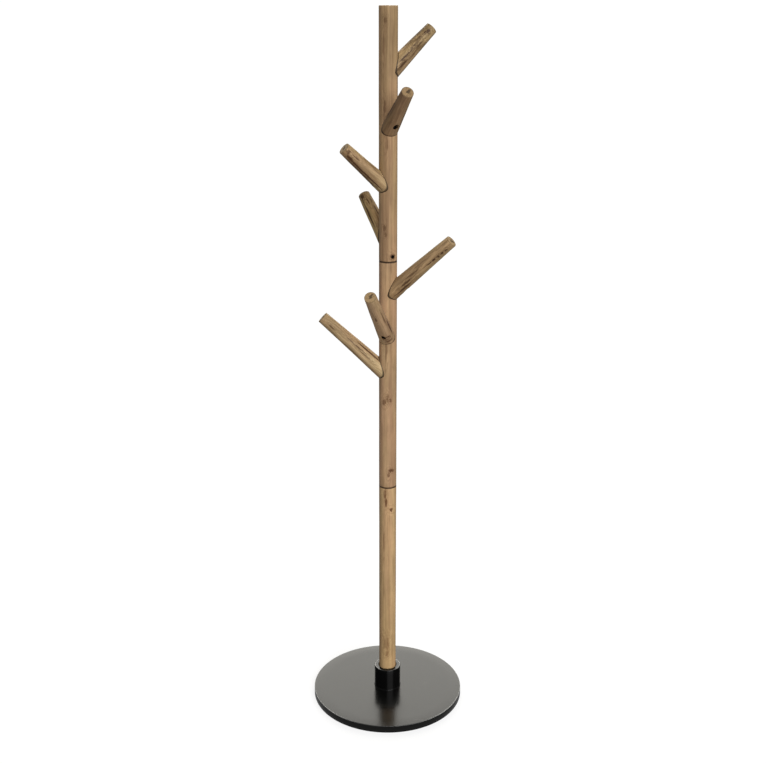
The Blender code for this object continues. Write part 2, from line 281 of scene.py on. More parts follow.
pad_rubber, tree, shader = new_finish("pad_rubber", Roughness=0.8)
where = add(tree, "ShaderNodeTexCoord").outputs["Object"]
dust = grained(tree, where, 220.0, 5.0, 0.7)
shade = blended(tree, spread(tree, dust, 0.5, 0.8), tint(30, 30, 31), tint(58, 56, 54))
tree.links.new(shade, shader.inputs["Base Color"])
bumped(tree, shader, dust, 0.25, 0.0003)


def make_foot_pad(number):
    """Its profile runs from the middle of its top, round its edge, and in across the dish and the ring."""
    low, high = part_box(f"foot_pad_{number}")
    radius = (high.x - low.x) / 2
    edge = high.z / 3
    dish = high.z / 5
    profile = [(0.0, high.z), (radius - edge / 3, high.z), (radius, high.z - edge / 3)]
    profile += rounded(radius - edge, edge, edge, 0, -90, 4)
    profile += [(radius * 0.66, 0.0), (radius * 0.60, dish), (radius * 0.40, dish)]
    profile += [(radius * 0.36, dish / 4), (radius * 0.22, dish / 4), (radius * 0.18, dish), (0.0, dish)]
    place = Matrix.Translation(((low.x + high.x) / 2, (low.y + high.y) / 2, 0.0))
    pad = piece(f"rubber_pad_{number}", turned(profile, 40), pad_rubber, place)
    stands_for(pad, f"foot_pad_{number}", "base")


for number in range(1, 7):
    make_foot_pad(number)

# ---- socket collar ----
# The collar is a short length of thick steel tube, turned true, with a rounded rim. It is welded to the pan
# all round, ground back to a small bead, and powder coated with it. A pale painted highlight lies on its rim.

collar_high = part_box("socket_collar")[1]
collar_radius = collar_high.x
collar_bore = 0.0225
collar_round = 0.0016
bore_chamfer = 0.001
bead = 0.0009
coat_gap = 0.00005

collar_profile = [(collar_bore + bore_chamfer, collar_high.z)]
collar_profile += rounded(collar_radius - collar_round, collar_high.z - collar_round, collar_round, 90, 0, 6)
collar_profile += [(collar_radius, base_top + (collar_high.z - base_top) * i / 4) for i in (3, 2, 1)]
collar_profile += [(collar_radius, base_top + 2 * bead)]
collar_profile += rounded(collar_radius, base_top + bead * 0.9, bead, 75, 0, 5)
collar_profile += [(collar_radius + bead, base_top + coat_gap), (collar_bore, base_top + coat_gap)]
collar_profile += [(collar_bore, collar_high.z - bore_chamfer)]
collar_rim = (collar_radius - collar_round, collar_high.z)
collar_gloss = 0.15
collar_rim_highlight = 0.35
# The collar's rim carries a painted highlight, strongest at its two sides.
collar_coat = coat_with_painted_edge_highlight("collar_powder_coat", tint(7, 7, 7), collar_gloss, *collar_rim, collar_rim_highlight)
collar = piece("welded_socket_collar", turned(collar_profile, 128, closed=True), collar_coat)
stands_for(collar, "socket_collar", "base")

# ---- bolt, washer and studs ----
# The lower length of the pole screws onto an M10 hexagon bolt that comes up through the pan, on a wide
# washer. The other joints have M10 studs, glued into the length below. All are zinc plated steel, and the
# 1.5 mm threads are modelled in full.

thread_pitch = 0.0015
thread_radius = 0.005
thread_depth = 0.0009
thread_steps = 24


def threaded_rod(radius, depth, pitch, low, high):
    """A right-hand thread: one tooth spun up and round, its turns joined, its ends cut square and closed."""
    bm = bmesh.new()
    root = radius - depth
    tooth = [(root, 0.0), (root, 0.12), (radius, 0.44), (radius, 0.56), (root, 0.88), (root, 1.0)]
    points = [bm.verts.new((reach, 0.0, low + pitch * (share - 1.5))) for reach, share in tooth]
    edges = [bm.edges.new(pair) for pair in zip(points, points[1:])]
    turns = math.ceil((high - low) / pitch) + 2
    rise = Vector((0, 0, pitch / thread_steps))
    bmesh.ops.spin(
        bm, geom=points + edges, cent=(0, 0, 0), axis=(0, 0, 1), dvec=rise,
        angle=2 * math.pi * turns, steps=turns * thread_steps, use_merge=False,
    )
    bmesh.ops.remove_doubles(bm, verts=bm.verts, dist=radius / 500)
    for height, outer in ((low, False), (high, True)):
        everything = bm.verts[:] + bm.edges[:] + bm.faces[:]
        cut = bmesh.ops.bisect_plane(
            bm, geom=everything, plane_co=(0, 0, height), plane_no=(0, 0, 1), dist=0.0000005,
            clear_outer=outer, clear_inner=not outer,
        )
        rim = [edge for edge in cut["geom_cut"] if isinstance(edge, bmesh.types.BMEdge)]
        bmesh.ops.contextual_create(bm, geom=rim)
    bmesh.ops.recalc_face_normals(bm, faces=bm.faces)
    return bm


def zinc_plate(name, colour):
    """Bright zinc: a faint yellow-blue cast, and brushed roughness."""
    material, tree, shader = new_finish(name, Metallic=1.0)
    where = add(tree, "ShaderNodeTexCoord").outputs["Object"]
    cast = grained(tree, where, 90.0, 3.0, 0.6)
    warm = scaled(colour, 1.06, 1.0, 0.84)
    tree.links.new(blended(tree, spread(tree, cast, 0.35, 0.7), colour, warm), shader.inputs["Base Color"])
    brushed = spread(tree, grained(tree, where, 700.0, 3.0), 0.3, 0.7, 0.24, 0.42)
    tree.links.new(brushed, shader.inputs["Roughness"])
    return material


zinc = zinc_plate("zinc_plated_steel", tint(190, 191, 194))


def make_stud(node, body):
    low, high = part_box(node)
    rod = threaded_rod(thread_radius, thread_depth, thread_pitch, low.z, high.z)
    stud = piece(f"threaded_{node}", rod, zinc)
    stands_for(stud, node, body)


make_stud("stud_middle", "middle_stud")
make_stud("stud_upper", "upper_stud")


def joined(item, *others, cut=False):
    """Unites solids with a piece, or cuts them from it, and removes them."""
    for other in others:
        boolean = item.modifiers.new("joint", "BOOLEAN")
        boolean.operation = "DIFFERENCE" if cut else "UNION"
        boolean.object = other
    bpy.context.view_layer.update()
    evaluated = item.evaluated_get(bpy.context.evaluated_depsgraph_get())
    mesh = bpy.data.meshes.new_from_object(evaluated)
    item.modifiers.clear()
    item.data = mesh
    for other in others:
        bpy.data.objects.remove(other, do_unlink=True)


def hexagon_bar(flats, low, high):
    bm = bmesh.new()
    corner = flats / math.sqrt(3)
    bmesh.ops.create_cone(bm, cap_ends=True, segments=6, radius1=corner, radius2=corner, depth=high - low)
    bmesh.ops.translate(bm, verts=bm.verts, vec=(0, 0, (low + high) / 2))
    return bm


bolt_head = 0.0064
bolt_chamfer = 0.0009
overlap = 0.001


def make_base_bolt():
    low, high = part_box("base_bolt")
    head_top = low.z + bolt_head
    flats = high.y - low.y
    bar = hexagon_bar(flats, low.z, head_top)
    below = head_top - overlap
    lower_edges = [edge for edge in bar.edges if max(vert.co.z for vert in edge.verts) < below]
    bmesh.ops.bevel(
        bar, geom=lower_edges, offset=bolt_chamfer, affect="EDGES", segments=2, profile=0.5, material=-1,
    )
    bolt = piece("hexagon_bolt", bar, zinc)
    shank = threaded_rod(thread_radius, thread_depth, thread_pitch, below, high.z)
    joined(bolt, piece("bolt_shank", shank, zinc))
    bolt.data.set_sharp_from_angle(angle=math.radians(35))
    stands_for(bolt, "base_bolt", "lower_bolt")


make_base_bolt()

washer_low, washer_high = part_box("base_washer")
washer_edge = 0.0004
washer_profile = rounded(washer_high.x - washer_edge, washer_high.z - washer_edge, washer_edge, 90, 0, 3)
washer_profile += rounded(washer_high.x - washer_edge, washer_low.z + washer_edge, washer_edge, 0, -90, 3)
washer_profile += [(bolt_hole, washer_low.z), (bolt_hole, washer_high.z)]
washer = piece("wide_washer", turned(washer_profile, 64, closed=True), zinc)
stands_for(washer, "base_washer", "base")

# ---- pole ----
# Three lengths of a brown hardwood, turned to 42 mm, sanded and oiled. The grain runs up the pole, with
# small knots that the growth lines bend round. The lengths meet with small chamfers, darkened with a
# painted shade.

pole_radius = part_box("pole_middle")[1].x
pole_chamfer = 0.0011
insert_bore = 0.0098
insert_depth = 0.0283
stud_bore = 0.0053
stud_depth = 0.0353
stud_end_bore = 0.006
stud_end_depth = 0.034


def hardwood(name, place, tones, variety, figure, skin, marks=(), dark_ends=(), heel=None, end=None):
    """Solid wood, worked out in the rod's own space, with the grain along its Z.

    tones are the pale, middle and dark colours, variety moves the pattern, and figure is how wild the grain
    is. skin gives the rod's radius at a height. A mark is a knot or a dark streak in the skin: (angle round
    the rod, height, size, stretch along the grain, darkness). dark_ends are heights, and heel a distance from
    the pole's axis, where the wood is darkened with a painted shade. A rod that shows its end grain has a tan
    cut face at the height called end, with a dark edge and heart, and a small drying crack.
    """
    pale, middle, dark = tones
    material, tree, shader = new_finish(name, IOR=1.45, Specular_IOR_Level=0.3)
    where = add(tree, "ShaderNodeTexCoord").outputs["Object"]
    mapping = add(tree, "ShaderNodeMapping", {"Vector": where}, vector_type="TEXTURE")
    mapping.inputs["Location"].default_value = place.to_translation()
    mapping.inputs["Rotation"].default_value = place.to_euler()
    rod = mapping.outputs["Vector"]
    parts = add(tree, "ShaderNodeSeparateXYZ", {0: rod})
    height = parts.outputs["Z"]

    def vectors(operation, first, second=(0.0, 0.0, 0.0)):
        return add(tree, "ShaderNodeVectorMath", {0: first, 1: second}, operation=operation)

    def stretched(space, across, along):
        """The rod's space, squeezed along the grain, and moved to this piece's own place in the timber."""
        shift = (variety * 0.731, variety * 0.397, variety * 1.913)
        inputs = {"Vector": space, "Location": shift, "Scale": (across, across, along)}
        return add(tree, "ShaderNodeMapping", inputs).outputs[0]

    inputs = {"Vector": stretched(rod, 24.0, 7.0), "Scale": 1.0, "Detail": 2.0}
    drift = add(tree, "ShaderNodeTexNoise", inputs)
    drift = vectors("SUBTRACT", drift.outputs["Color"], (0.5, 0.5, 0.5)).outputs[0]
    drift = vectors("MULTIPLY", drift, (0.012 * figure, 0.012 * figure, 0.0)).outputs[0]
    grain = vectors("ADD", rod, drift).outputs[0]

    eyes = None
    swirl = None
    for angle, up, size, stretch, strength in marks:
        centre = (skin(up) * math.cos(math.radians(angle)), skin(up) * math.sin(math.radians(angle)), up)
        away = vectors("SUBTRACT", rod, centre).outputs[0]
        away = vectors("MULTIPLY", away, (1.0, 1.0, 1.0 / stretch)).outputs[0]
        away = vectors("LENGTH", away).outputs["Value"]
        torn = grained(tree, stretched(rod, 300.0, 300.0 / stretch), 1.0, 3.0, 0.6)
        away = sums(tree, "MULTIPLY_ADD", torn, size * 2.6, sums(tree, "SUBTRACT", away, size * 1.45))
        bend = spread(tree, away, size * 3.8, size * 0.4)
        swirl = sums(tree, "ADD", swirl, bend) if swirl else bend
        eye = sums(tree, "MULTIPLY", spread(tree, away, size * 1.25, size * 0.55), strength)
        eyes = sums(tree, "MAXIMUM", eyes, eye) if eyes else eye

    heart = (0.021 + 0.013 * math.sin(variety * 5.0), 0.030 * math.cos(variety * 3.0), 0.0)
    off_heart = vectors("MULTIPLY", vectors("SUBTRACT", grain, heart).outputs[0], (1.0, 1.0, 0.03)).outputs[0]
    years = sums(tree, "MULTIPLY", vectors("LENGTH", off_heart).outputs["Value"], 150.0)
    years = sums(tree, "MULTIPLY_ADD", swirl, 1.9, years) if swirl else years
    rings = sums(tree, "MULTIPLY_ADD", swirl, 0.30, 0.08 + 0.15 * figure) if swirl else 0.08 + 0.15 * figure
    late = sums(tree, "FRACT", years)
    late = sums(tree, "MULTIPLY", spread(tree, late, 0.05, 0.85), spread(tree, late, 1.0, 0.86))
    bands = grained(tree, stretched(grain, 75.0, 1.4), 1.0, 4.0, 0.6)
    streaks = spread(tree, grained(tree, stretched(grain, 190.0, 11.0), 1.0, 3.0, 0.6), 0.48, 0.68)
    fibres = grained(tree, stretched(grain, 640.0, 16.0), 1.0, 3.0, 0.6)
    pores = spread(tree, grained(tree, stretched(rod, 1300.0, 70.0), 1.0, 1.0), 0.64, 0.78)
    blush = grained(tree, stretched(rod, 34.0, 5.0), 1.0, 3.0, 0.5)
    stain = spread(tree, grained(tree, stretched(rod, 18.0, 9.0), 1.0, 4.0, 0.6), 0.3, 0.7, 0.84, 1.1)

    shade = blended(tree, spread(tree, bands, 0.38, 0.64), pale, middle)
    shade = blended(tree, sums(tree, "MULTIPLY", late, rings), shade, dark)
    shade = blended(tree, sums(tree, "MULTIPLY", streaks, 0.08 + 0.30 * figure), shade, dark)
    rosy = blended(tree, 1.0, shade, (1.02, 0.972, 0.96, 1.0), "MULTIPLY")
    olive = blended(tree, 1.0, shade, (0.99, 1.005, 0.93, 1.0), "MULTIPLY")
    shade = blended(tree, spread(tree, blush, 0.36, 0.64), rosy, olive)
    shade = blended(tree, spread(tree, fibres, 0.42, 0.78, 0.0, 0.20 + 0.15 * figure), shade, dark)
    shade = blended(tree, sums(tree, "MULTIPLY", pores, 0.4), shade, scaled(dark, 0.55, 0.55, 0.55))
    shade = vectors("SCALE", shade)
    tree.links.new(stain, shade.inputs["Scale"])
    shade = shade.outputs[0]
    if eyes:
        shade = blended(tree, eyes, shade, scaled(dark, 0.60, 0.44, 0.32))

    painted_shade_and_end_marks = None
    # Each joint end gets a band of painted shade, where the lengths meet.
    for dark_end in dark_ends:
        off_end = sums(tree, "ABSOLUTE", sums(tree, "SUBTRACT", height, dark_end))
        near = spread(tree, off_end, 0.0026, 0.0014)
        painted_shade_and_end_marks = sums(tree, "MAXIMUM", painted_shade_and_end_marks, near) if painted_shade_and_end_marks else near
    # The heel gets a band of painted shade where it meets the pole.
    if heel:
        off_pole = vectors("LENGTH", vectors("MULTIPLY", where, (1.0, 1.0, 0.0)).outputs[0]).outputs["Value"]
        near = spread(tree, off_pole, heel + 0.0027, heel + 0.0009)
        painted_shade_and_end_marks = sums(tree, "MAXIMUM", painted_shade_and_end_marks, near) if painted_shade_and_end_marks else near
    if end:
        off_pith = vectors("LENGTH", vectors("MULTIPLY", rod, (1.0, 1.0, 0.0)).outputs[0]).outputs["Value"]
        ragged = sums(tree, "SUBTRACT", grained(tree, rod, 240.0, 3.0), 0.5)
        pith = spread(tree, sums(tree, "MULTIPLY_ADD", ragged, 0.010, off_pith), 0.0048, 0.0026)
        turn = variety * 1.7
        along = vectors("DOT_PRODUCT", rod, (math.cos(turn), math.sin(turn), 0.0)).outputs["Value"]
        across = vectors("DOT_PRODUCT", rod, (-math.sin(turn), math.cos(turn), 0.0)).outputs["Value"]
        across = sums(tree, "ABSOLUTE", sums(tree, "MULTIPLY_ADD", ragged, 0.008, across))
        crack = sums(tree, "MULTIPLY", spread(tree, along, -0.0005, 0.001), spread(tree, along, 0.012, 0.008))
        crack = sums(tree, "MULTIPLY", spread(tree, across, 0.0030, 0.0016), crack)
        soaked = spread(tree, grained(tree, rod, 150.0, 3.0, 0.6), 0.52, 0.66, 0.0, 0.45)
        soaked = sums(tree, "MAXIMUM", soaked, spread(tree, off_pith, 0.0112, 0.0134, 0.0, 0.45))
        pith = sums(tree, "MAXIMUM", sums(tree, "MAXIMUM", pith, crack), soaked)
        on_end = spread(tree, height, end - 0.0012, end - 0.0004)
        pith = sums(tree, "MULTIPLY", pith, sums(tree, "MULTIPLY", on_end, 0.9))
        shade = blended(tree, sums(tree, "MULTIPLY", on_end, 0.7), shade, tint(158, 132, 94))
        painted_shade_and_end_marks = sums(tree, "MAXIMUM", painted_shade_and_end_marks, pith)
    # This mask darkens the wood: painted shade at the joints and the heel, and the end grain's dark edge,
    # heart and crack.
    if painted_shade_and_end_marks:
        shade = blended(tree, sums(tree, "MULTIPLY", painted_shade_and_end_marks, 0.88), shade, scaled(dark, 0.2, 0.2, 0.2))
    tree.links.new(shade, shader.inputs["Base Color"])

    tree.links.new(spread(tree, fibres, 0.3, 0.75, 0.5, 0.68), shader.inputs["Roughness"])
    relief = sums(tree, "MULTIPLY_ADD", fibres, 0.5, sums(tree, "MULTIPLY", late, -0.3))
    relief = sums(tree, "MULTIPLY_ADD", pores, -0.6, relief)
    bumped(tree, shader, relief, 0.35, 0.0004)
    return material


skin_starts = 0.012


def hand_sanded(bm, amount, coarse, variety):
    """Moves a turned rod's skin a little in and out, as sanding by hand leaves it. Its bores stay true."""
    for vert in bm.verts:
        radius = math.hypot(vert.co.x, vert.co.y)
        if radius > skin_starts:
            where = Vector((vert.co.x * 30, vert.co.y * 30, vert.co.z * coarse + variety * 7.3))
            swell = 1 + amount * noise.noise(where) / radius
            vert.co.x *= swell
            vert.co.y *= swell


def lock_drill(section):
    """Where the lock screw of a length lies: its own Z points out of the pole, level."""
    low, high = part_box(f"lock_screw_{section}")
    middle = (low + high) / 2
    turn = Matrix.Rotation(math.atan2(middle.y, middle.x), 4, "Z")
    return Matrix.Translation((0, 0, middle.z)) @ turn @ Matrix.Rotation(math.pi / 2, 4, "Y")


lock_hole = 0.0043
lock_hole_floor = 0.0084
past_skin = 0.03


def make_pole(section, body, finish, variety, has_stud):
    low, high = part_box(f"pole_{section}")
    foot, top = low.z, high.z
    profile = [(0.0, top)]
    if has_stud:
        floor = top - stud_depth
        profile = [(0.0, floor), (stud_bore, floor), (stud_bore, top)]
    profile += [(pole_radius - pole_chamfer * 2, top)]
    profile += [(pole_radius - pole_chamfer, top)]
    profile += [(pole_radius - pole_chamfer * 0.25, top - pole_chamfer * 0.4)]
    lengths = 90
    start, end = top - pole_chamfer, foot + pole_chamfer
    profile += [(pole_radius, start + (end - start) * i / lengths) for i in range(lengths + 1)]
    profile += [(pole_radius - pole_chamfer * 0.25, foot + pole_chamfer * 0.4)]
    profile += [(pole_radius - pole_chamfer, foot)]
    profile += [(insert_bore, foot), (insert_bore, foot + insert_depth), (stud_end_bore, foot + insert_depth)]
    profile += [(stud_end_bore, foot + stud_end_depth), (0.0, foot + stud_end_depth)]
    bm = turned(profile, 72)
    hand_sanded(bm, amount=0.00022, coarse=9.0, variety=variety)
    pole = piece(f"turned_pole_{section}", bm, finish, crease=40.0)
    hole = [(0.0, past_skin), (lock_hole, past_skin), (lock_hole, lock_hole_floor), (0.0, lock_hole_floor)]
    drill = turned(hole, 32)
    joined(pole, piece("lock_drill", drill, finish, lock_drill(section)), cut=True)
    pole.data.set_sharp_from_angle(angle=math.radians(40))
    stands_for(pole, f"pole_{section}", body)


def pole_wood(section, tones, variety, figure, knots):
    """The wood of one length, with a painted shade where it meets the next, and darker round its lock screw's
    hole.
    """
    low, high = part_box(f"pole_{section}")
    place = Matrix.Translation((0, 0, low.z))
    ends = (0.0, high.z - low.z) if section != "upper" else (0.0,)
    drill = lock_drill(section).to_3x3() @ Vector((0, 0, 1))
    drill_height = lock_drill(section).to_translation().z - low.z
    # The wood is made darker round the lock screw's hole.
    dark_ring = (math.degrees(math.atan2(drill.y, drill.x)), drill_height, 0.0058, 1.0, 0.85)
    marks = (*knots, dark_ring)
    name = f"pole_wood_{section}"
    return hardwood(name, place, tones, variety, figure, lambda up: pole_radius, marks, ends)


lower_tones = (tint(204, 171, 128), tint(185, 152, 111), tint(122, 87, 57))
middle_tones = (tint(194, 160, 124), tint(174, 141, 108), tint(112, 81, 54))
upper_tones = (tint(186, 154, 117), tint(161, 131, 98), tint(102, 76, 50))
lower_knots = (
    (-108, 0.545, 0.0026, 5.0, 0.55), (-101, 0.520, 0.0026, 4.0, 0.80), (-66, 0.502, 0.0034, 1.5, 0.85),
    (-116, 0.42, 0.0020, 14.0, 0.4), (-98, 0.13, 0.0060, 2.2, 0.26), (-92, 0.10, 0.0042, 1.6, 0.3),
    (60, 0.32, 0.0040, 1.8, 0.7), (140, 0.20, 0.0020, 10.0, 0.4),
)
middle_knots = (
    (-112, 0.222, 0.0044, 1.6, 0.6), (-72, 0.226, 0.0032, 1.4, 0.65), (-92, 0.232, 0.0026, 3.0, 0.5),
    (-72, 0.046, 0.0036, 1.3, 0.85), (-52, 0.045, 0.0026, 1.4, 0.7), (-86, 0.034, 0.0030, 2.2, 0.6),
    (-100, 0.35, 0.0024, 9.0, 0.35), (95, 0.30, 0.0040, 1.8, 0.7), (20, 0.12, 0.0020, 12.0, 0.4),
)
upper_knots = (
    (-108, 0.53, 0.0034, 1.6, 0.45), (-118, 0.48, 0.0024, 9.0, 0.3), (-112, 0.345, 0.0034, 4.0, 0.4),
    (-100, 0.268, 0.0026, 5.0, 0.4), (-112, 0.079, 0.0036, 1.6, 0.55), (-104, 0.064, 0.0028, 1.4, 0.45),
    (80, 0.21, 0.0030, 1.8, 0.7), (165, 0.40, 0.0022, 10.0, 0.4),
)
make_pole("lower", "lower_pole", pole_wood("lower", lower_tones, 1.0, 0.45, lower_knots), 1.0, True)
make_pole("middle", "middle_pole", pole_wood("middle", middle_tones, 2.0, 0.5, middle_knots), 2.0, True)
make_pole("upper", "upper_pole", pole_wood("upper", upper_tones, 3.0, 0.5, upper_knots), 3.0, False)

# ---- inserts and lock screws ----
# A brass insert is screwed into the foot of each length of the pole. A headless black screw with a hexagon
# socket comes in through the pole's side and locks the insert. It sits just under the surface of the wood.

brass, tree, shader = new_finish("machined_brass", Metallic=1.0, Roughness=0.3)
where = add(tree, "ShaderNodeTexCoord").outputs["Object"]
tarnish = grained(tree, where, 160.0, 4.0, 0.6)
shade = blended(tree, spread(tree, tarnish, 0.4, 0.7), tint(214, 178, 102), tint(160, 124, 66))
tree.links.new(shade, shader.inputs["Base Color"])
tree.links.new(spread(tree, tarnish, 0.3, 0.7, 0.25, 0.5), shader.inputs["Roughness"])
for section in ("lower", "middle", "upper"):
    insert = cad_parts[f"insert_{section}"]
    insert.data.materials.clear()
    insert.data.materials.append(brass)

blackened, tree, shader = new_finish("blackened_steel", Metallic=1.0)
where = add(tree, "ShaderNodeTexCoord").outputs["Object"]
rubbed = grained(tree, where, 500.0, 4.0, 0.6)
shade = blended(tree, spread(tree, rubbed, 0.5, 0.75), tint(26, 25, 25), tint(78, 74, 70))
tree.links.new(shade, shader.inputs["Base Color"])
tree.links.new(spread(tree, rubbed, 0.3, 0.7, 0.5, 0.3), shader.inputs["Roughness"])

lock_radius = 0.004
lock_flats = 0.004
lock_face = 0.0201
lock_point = 0.0088
lock_edge = 0.0005
lock_cone = 0.0007
lock_socket = 0.0026
broach_clear = 0.002


def make_lock_screw(section, body):
    """Its profile's heights are distances from the pole's axis, from its face down to its blunt point."""
    profile = [(0.0, lock_face), (lock_flats * 0.62, lock_face)]
    profile += rounded(lock_radius - lock_edge, lock_face - lock_edge, lock_edge, 90, 0, 3)
    profile += [(lock_radius, lock_point + lock_cone), (lock_radius - lock_cone, lock_point)]
    profile += [(0.0, lock_point)]
    place = lock_drill(section)
    screw = piece(f"lock_grub_screw_{section}", turned(profile, 40), blackened, place)
    broach = hexagon_bar(lock_flats, lock_face - lock_socket, lock_face + broach_clear)
    joined(screw, piece("socket_broach", broach, blackened, place), cut=True)
    screw.data.set_sharp_from_angle(angle=math.radians(35))
    stands_for(screw, f"lock_screw_{section}", body)


make_lock_screw("lower", "lower_pole")
make_lock_screw("middle", "middle_pole")
make_lock_screw("upper", "upper_pole")

# ---- pegs ----
# Seven tapered rods of the same timber, from wilder-grained stock: four short ones on the upper length and
# three long ones on the middle one. The heel of each is coped to sit on the pole, and the tip is cut square
# and eased.

peg_tilt = math.radians(47.7)
peg_root = 0.020
peg_tip = 0.0138
tip_round = 0.0007
screw_rise = 0.0155
cope_gap = 0.00008
cope_below = 0.06
cope_above = 0.09
sink_radius = 0.0061
sink_floor = 0.034
sink_past_skin = 0.062
pilot_radius = 0.0026
pilot_floor = 0.019


def bearing(name):
    """The way a peg points, round the pole. Its CAD solid's highest point lies straight above its axis."""
    top = max((vert.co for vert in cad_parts[name].data.vertices), key=lambda point: point.z)
    return math.atan2(top.y, top.x)


def peg_place(name):
    """The peg's own Z runs out along it from the pole's axis. Its screw lies a little above that point."""
    low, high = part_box(f"{name}_screw")
    turn = Matrix.Rotation(bearing(name), 4, "Z")
    start = Matrix.Translation((0, 0, (low.z + high.z) / 2 - screw_rise))
    return start @ turn @ Matrix.Rotation(peg_tilt, 4, "Y")


def screw_drill(name):
    """The line of the peg's screw: level, out of the pole."""
    low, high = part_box(f"{name}_screw")
    turn = Matrix.Rotation(bearing(name), 4, "Z")
    return Matrix.Translation((0, 0, (low.z + high.z) / 2)) @ turn @ Matrix.Rotation(math.pi / 2, 4, "Y")


def peg_length(name):
    """The length from the pole's axis to the tip, worked out from the height of the peg's highest point."""
    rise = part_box(name)[1].z - peg_place(name).to_translation().z
    return (rise - peg_tip * math.sin(peg_tilt)) / math.cos(peg_tilt) + tip_round * 0.3


def front_angle(name):
    """The angle, round the peg's own axis, of the side that faces -Y and a little up."""
    front = peg_place(name).to_3x3().inverted() @ Vector((0, -1, 0.15))
    return math.degrees(math.atan2(front.y, front.x))


def make_peg(name, body, tones, variety, figure, marks):
    """A mark here is (angle from the front, share of the length, size, stretch, darkness)."""
    place = peg_place(name)
    length = peg_length(name)
    front = front_angle(name)

    def skin(up):
        return peg_root + (peg_tip - peg_root) * up / length

    marks = [(front + around, length * along, *rest) for around, along, *rest in marks]
    finish = hardwood(f"peg_wood_{name}", place, tones, variety, figure, skin, marks, (), pole_radius, length)
    profile = [(0.0, length), (peg_tip * 0.5, length)]
    profile += rounded(peg_tip - tip_round, length - tip_round, tip_round, 90, 0, 5)
    rings = 46
    start = length - tip_round
    for i in range(1, rings + 1):
        profile.append((peg_tip + (peg_root - peg_tip) * i / rings, start * (1 - i / rings)))
    profile += [(0.0, 0.0)]
    bm = turned(profile, 64)
    hand_sanded(bm, amount=0.0005, coarse=22.0, variety=variety)
    peg = piece(f"coped_{name}", bm, finish, place)
    cope_radius = pole_radius + cope_gap
    middle = place.to_translation().z
    low, high = middle - cope_below, middle + cope_above
    cope = turned([(0.0, high), (cope_radius, high), (cope_radius, low), (0.0, low)], 128)
    sink = [(0.0, sink_past_skin), (sink_radius, sink_past_skin), (sink_radius, sink_floor)]
    sink += [(pilot_radius, sink_floor), (pilot_radius, pilot_floor), (0.0, pilot_floor)]
    drill = piece("screw_sink", turned(sink, 40), finish, screw_drill(name))
    joined(peg, piece("cope", cope, finish), drill, cut=True)
    peg.data.set_sharp_from_angle(angle=math.radians(40))
    stands_for(peg, name, body)


short_tones = (tint(194, 165, 124), tint(160, 132, 94), tint(82, 59, 36))
split_tones = (tint(212, 182, 130), tint(182, 152, 108), tint(84, 60, 38))
dull_tones = (tint(174, 142, 108), tint(152, 121, 88), tint(90, 64, 44))
long_tones = (tint(200, 172, 131), tint(174, 145, 107), tint(98, 72, 46))
pale_tones = (tint(214, 186, 145), tint(187, 157, 118), tint(104, 78, 50))
# These tones are pale, partly the peg's own wood and partly painted light on its shaded lower side.
pale_and_bounce_lit_tones = (tint(214, 181, 140), tint(190, 156, 118), tint(110, 80, 52))
make_peg("peg_1", "upper_pole", short_tones, 4.0, 1.8, (
    (0, 0.90, 0.0034, 1.5, 0.9), (-16, 0.84, 0.0022, 2.5, 0.8), (-20, 0.70, 0.0020, 5.0, 0.7),
    (-4, 0.60, 0.0020, 7.0, 0.55), (22, 0.66, 0.0018, 6.0, 0.75), (8, 0.46, 0.0016, 6.0, 0.5),
    (4, 0.32, 0.0022, 7.0, 0.8), (30, 0.24, 0.0022, 6.0, 0.8), (38, 0.55, 0.0016, 16.0, 0.6),
    (-60, 0.70, 0.0030, 8.0, 0.6),
))
make_peg("peg_2", "upper_pole", dull_tones, 5.0, 0.9, (
    (-70, 0.55, 0.0022, 12.0, 0.6), (70, 0.45, 0.0024, 9.0, 0.5),
))
make_peg("peg_3", "upper_pole", long_tones, 6.0, 1.1, (
    (4, 0.95, 0.0040, 1.6, 0.7), (-28, 0.86, 0.0030, 2.6, 0.9), (-34, 0.70, 0.0020, 18.0, 0.9),
    (-34, 0.42, 0.0022, 18.0, 0.95), (-58, 0.60, 0.0034, 12.0, 0.5), (12, 0.80, 0.0018, 5.0, 0.6),
    (40, 0.34, 0.0014, 14.0, 0.6), (60, 0.50, 0.0026, 9.0, 0.5),
))
make_peg("peg_4", "upper_pole", split_tones, 7.0, 1.4, (
    (-20, 0.93, 0.0034, 1.6, 0.7), (-34, 0.62, 0.0022, 22.0, 0.9), (40, 0.60, 0.0016, 14.0, 0.6),
    (8, 0.80, 0.0018, 5.0, 0.6),
))
make_peg("peg_5", "middle_pole", short_tones, 8.0, 1.05, (
    (26, 0.91, 0.0024, 1.6, 0.8), (22, 0.85, 0.0024, 1.8, 0.9), (22, 0.79, 0.0022, 1.8, 0.9),
    (18, 0.73, 0.0018, 3.0, 0.9), (16, 0.67, 0.0016, 6.0, 0.8), (-6, 0.44, 0.0018, 7.0, 0.6),
    (10, 0.30, 0.0020, 9.0, 0.8), (34, 0.24, 0.0022, 9.0, 0.8), (-30, 0.60, 0.0014, 16.0, 0.5),
))
